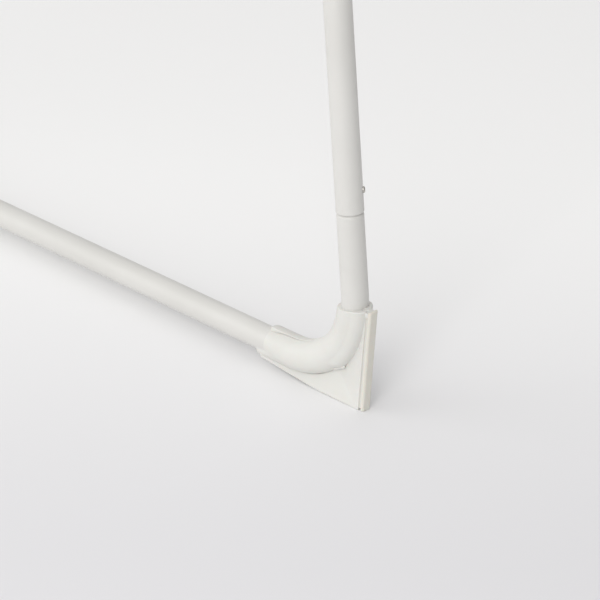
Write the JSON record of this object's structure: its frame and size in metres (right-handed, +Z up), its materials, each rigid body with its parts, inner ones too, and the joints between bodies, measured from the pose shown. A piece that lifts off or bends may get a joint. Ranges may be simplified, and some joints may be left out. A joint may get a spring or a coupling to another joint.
{
  "type": "sectional curtain rod with corner brackets",
  "caption": "White tubular rod bent up at both ends in moulded corner brackets, with plug-on uprights held by snap buttons.",
  "frame": {"origin": "middle of the span, at the height of the bracket corners that stand on the floor, in the plane of the tube axes", "axes": "+X along the rod towards the right bracket, +Y from the covers towards the screwed back, +Z up the uprights"},
  "size_m": [0.8138, 0.0244, 0.3479],
  "materials": {
    "white_paint": "satin white powder coat",
    "bracket_plastic": "fine satin moulded",
    "strip_plastic": "fine satin moulded",
    "plug_plastic": "satin moulded",
    "zinc_steel": "zinc plated",
    "spring_steel": "tempered",
    "button_nickel": "nickel plated"
  },
  "bodies": {
    "frame": {"rod_spring": "spring_steel", "right_tube": "white_paint", "right_bracket": "bracket_plastic", "right_cover": "bracket_plastic", "right_wall_strip": "strip_plastic", "right_screws": "zinc_steel", "right_spring": "spring_steel", "right_upright": "white_paint", "right_end_plug": "plug_plastic", "left_tube": "white_paint", "left_bracket": "bracket_plastic", "left_cover": "bracket_plastic", "left_wall_strip": "strip_plastic", "left_screws": "zinc_steel", "left_spring": "spring_steel", "left_upright": "white_paint", "left_end_plug": "plug_plastic"},
    "rod_button": {"rod_button": "button_nickel"},
    "right_button": {"right_button": "button_nickel"},
    "left_button": {"left_button": "button_nickel"}
  },
  "joints": [
    {"name": "rod_button_press", "type": "slide", "parent": "frame", "child": "rod_button", "axis": [0, -1, 0], "range_m": [0, 0.0026], "stiffness_N_per_m": 2500, "springref_m": -0.001},
    {"name": "right_button_press", "type": "slide", "parent": "frame", "child": "right_button", "axis": [-0.7044, -0.7071, -0.0616], "range_m": [0, 0.0026], "stiffness_N_per_m": 2500, "springref_m": -0.001},
    {"name": "left_button_press", "type": "slide", "parent": "frame", "child": "left_button", "axis": [0.7044, -0.7071, -0.0616], "range_m": [0, 0.0026], "stiffness_N_per_m": 2500, "springref_m": -0.001}
  ]
}
